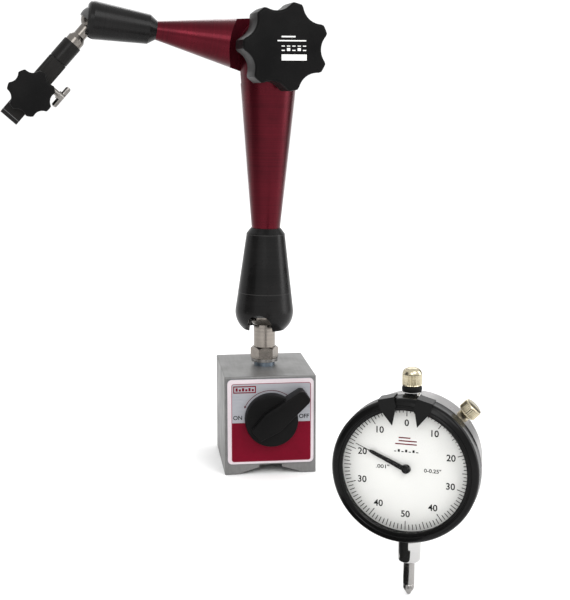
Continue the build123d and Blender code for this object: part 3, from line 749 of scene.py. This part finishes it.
dialSize = {
    "outer": 26.2, "hole": 1.9, "front": 9.8, "back": 9.2, "edge": 0.05, "print": 0.03, "sink": 0.01,
    "ticks": 100, "tickOuter": 25.6, "tickWidth": 0.32, "short": 2.3, "middle": 2.9, "long": 3.8,
    "numbers": (0, 10, 20, 30, 40, 50, 40, 30, 20, 10), "digitRadius": 19.0, "digitSize": 3.8,
    "words": (("dial_unit", '.001"', -9.6, 0.2, 1.25), ("dial_range", '0-0.25"', 10.8, -0.1, 1.1)),
    "wordSize": 2.2, "marks": ((-4.6, 4.2, 10.0), (-3.2, 4.2, 11.3), (-3.2, 1.6, 12.6)), "markHeight": 0.5,
    "dashes": {"count": 7, "left": -5.0, "right": -4.1, "step": 1.5, "bottom": 6.9, "top": 7.3, "rise": 0.7},
}
bezelSize = {
    "sides": 480, "teeth": 240, "depth": 0.14, "low": 6.6, "high": 12.2, "radius": 30.0, "ring": True,
    "smooth": 28,
    "profile": [(25.3, 13.3), (25.3, 14.6), (25.65, 14.95), (26.5, 14.95), (26.75, 14.7), (27.1, 14.7),
                (27.35, 14.9), (28.6, 14.45), (29.4, 13.9), (29.85, 13.1), (30.0, 12.5), (30.0, 12.1),
                (30.0, 6.9), (30.0, 6.4), (29.75, 5.7), (29.3, 5.3), (26.3, 5.2), (26.3, 11.9), (27.0, 11.9),
                (27.0, 13.3)],
}
capSize = {
    "sides": 72, "teeth": 36, "depth": 0.28, "low": 32.8, "high": 37.1, "radius": 4.0, "smooth": 28,
    "profile": [(0, 38.6), (2.6, 38.6), (2.6, 32.2), (3.8, 32.3), (4.0, 32.6), (4.0, 32.9), (4.0, 37.0),
                (4.0, 37.3), (3.92, 37.7), (3.65, 38.4), (3.2, 38.95), (2.5, 39.4), (1.4, 39.7), (0, 39.8)],
}
sealSize = {
    "ring": True,
    "profile": [(2.7, 30.1), (3.85, 30.1), (4.05, 30.5), (4.1, 31.1), (4.05, 31.7), (3.85, 32.1),
                (2.7, 32.1)],
}
collarSize = {
    "ring": True,
    "profile": [(2.5, 25.0), (3.4, 25.0), (3.4, 27.5), (4.0, 27.5), (4.25, 27.8), (4.3, 28.2), (4.2, 28.6),
                (4.0, 28.8), (4.0, 29.2), (4.25, 29.4), (4.25, 29.8), (4.0, 30.0), (2.5, 30.0)],
}
lockSize = {
    "sides": 64, "teeth": 32, "depth": 0.22, "low": 31.7, "high": 35.2, "radius": 4.0, "smooth": 28,
    "profile": [(0, 23.6), (1.3, 23.6), (1.5, 23.9), (1.5, 28.3), (2.5, 28.4), (2.6, 28.6), (2.6, 30.6),
                (2.2, 30.8), (2.2, 31.2), (3.7, 31.3), (4.0, 31.6), (4.0, 31.8), (4.0, 35.1), (4.0, 35.3),
                (3.75, 35.7), (3.2, 35.95), (0, 36.0)],
}
stemSize = {
    "ring": True,
    "profile": [(2.42, -42.4), (3.3, -42.4), (3.9, -42.2), (4.45, -41.7), (4.7, -41.0), (4.7625, -40.2),
                (4.7625, -31.0), (4.6, -30.7), (4.6, -30.4), (5.0, -30.3), (5.0, -28.6), (4.2, -28.6),
                (4.2, -22.0), (2.42, -22.0)],
}
tipSize = {
    "sides": 48, "teeth": 24, "depth": 0.16, "low": -54.05, "high": -52.65, "radius": 2.25, "smooth": 28,
    "profile": [(0, -57.0), (0.45, -56.9), (0.8, -56.6), (1.0, -56.2), (1.3, -55.6), (2.0, -54.7),
                (2.05, -54.5), (2.05, -54.4), (2.25, -54.0), (2.25, -53.9), (2.25, -52.8), (2.25, -52.7),
                (2.0, -52.4), (1.7, -52.2), (0, -52.2)],
}
handSize = {
    "low": 10.7, "high": 11.1, "turn": 65.5, "edge": 0.06, "hubSides": 48,
    "blade": [(-1.05, -1.2), (1.05, -1.2), (0.95, 6.0), (0.72, 15.3), (0.45, 16.2), (0.14, 17.0),
              (0.09, 22.6), (-0.09, 22.6), (-0.14, 17.0), (-0.45, 16.2), (-0.72, 15.3), (-0.95, 6.0)],
    "hub": [(0, 10.3), (1.45, 10.3), (1.6, 10.5), (1.6, 11.3), (1.45, 11.6), (1.1, 11.7), (0, 11.7)],
}


def makeTurned(name, size, seat, finish, node):  # a turned piece, knurled where its settings give teeth
    piece = turnPiece(name, size["profile"], size.get("sides", 96), size.get("ring", False))
    if "teeth" in size:
        knurl(piece, size["radius"], size["depth"], size["teeth"], size["low"], size["high"])
    settle(piece, seat, finish, node, (node,), size.get("smooth", 35))


def makeDial():
    d = dialSize
    plate = turnPiece("dial_plate", [(d["hole"], d["back"]), (d["outer"], d["back"]),
                                     (d["outer"], d["front"]), (d["hole"], d["front"])],
                      ring=True, edge=d["edge"])
    settle(plate, faceSeat, finishes["dial_white"], "dial", ("dial",))
    low, high = d["front"] - d["sink"], d["front"] + d["print"]
    ticks = []
    for i in range(d["ticks"]):
        length = d["long"] if i % 10 == 0 else d["middle"] if i % 5 == 0 else d["short"]
        tick = blockPiece("tick", (-d["tickWidth"] / 2, d["tickOuter"] - length, low),
                          (d["tickWidth"] / 2, d["tickOuter"], high))
        ticks.append(turnAbout(tick, -360 / d["ticks"] * i))
    settle(joinAll("dial_graduations", ticks), faceSeat, darkInk, "dial")
    for i, number in enumerate(d["numbers"]):
        angle = radians(90 - 360 / len(d["numbers"]) * i)
        x, y = d["digitRadius"] * cos(angle), d["digitRadius"] * sin(angle)
        printWord(f"dial_number_{i}", str(number), x, y, low, high, d["digitSize"], darkInk, faceSeat, "dial")
    for name, word, x, y, wide in d["words"]:
        printWord(name, word, x, y, low, high, d["wordSize"], darkInk, faceSeat, "dial", wide=wide)
    marks = [blockPiece("mark", (left, bottom, low), (right, bottom + d["markHeight"], high))
             for left, right, bottom in d["marks"]]
    settle(joinAll("dial_mark", marks), faceSeat, redInk, "dial")
    dash = d["dashes"]
    dashes = [blockPiece("dash", (dash["left"] + dash["step"] * i, dash["bottom"], low),
                         (dash["right"] + dash["step"] * i, dash["top"] + dash["rise"] * (i % 2), high))
              for i in range(dash["count"])]
    settle(joinAll("dial_dashes", dashes), faceSeat, darkInk, "dial")


def makeHands():
    h = handSize
    needle = platePiece("needle", h["blade"], h["low"], h["high"], edge=h["edge"])
    hub = turnPiece("hub", h["hub"], sides=h["hubSides"])
    hand = turnAbout(joinAll("needle_hand", [needle, hub]), h["turn"])
    settle(hand, faceSeat, finishes["pointer_black"], "pointer", ("pointer",))


capBrass = makeFinish("cap brass", paleBrass, stemSeat)
lockBrass = makeFinish("lock screw brass", paleBrass, bezelLockBase)
contactSteel = makeFinish("contact steel", steelLook, stemSeat)
makeDial()
makeTurned("bezel_rim", bezelSize, faceSeat, finishes["bezel_black"], "bezel")
makeTurned("plunger_cap", capSize, stemSeat, capBrass, "top_cap")
makeTurned("cap_seal", sealSize, stemSeat, finishes["seal_rubber"], "top_seal")
makeTurned("cap_collar", collarSize, stemSeat, finishes["stem_chrome"], "top_collar")
makeTurned("bezel_lock_screw", lockSize, bezelLockBase, lockBrass, "bezel_screw")
makeTurned("stem", stemSize, stemSeat, finishes["stem_chrome"], "stem_bush")
makeTurned("contact_tip", tipSize, stemSeat, contactSteel, "contact_point")
makeHands()
print("indicator ready")
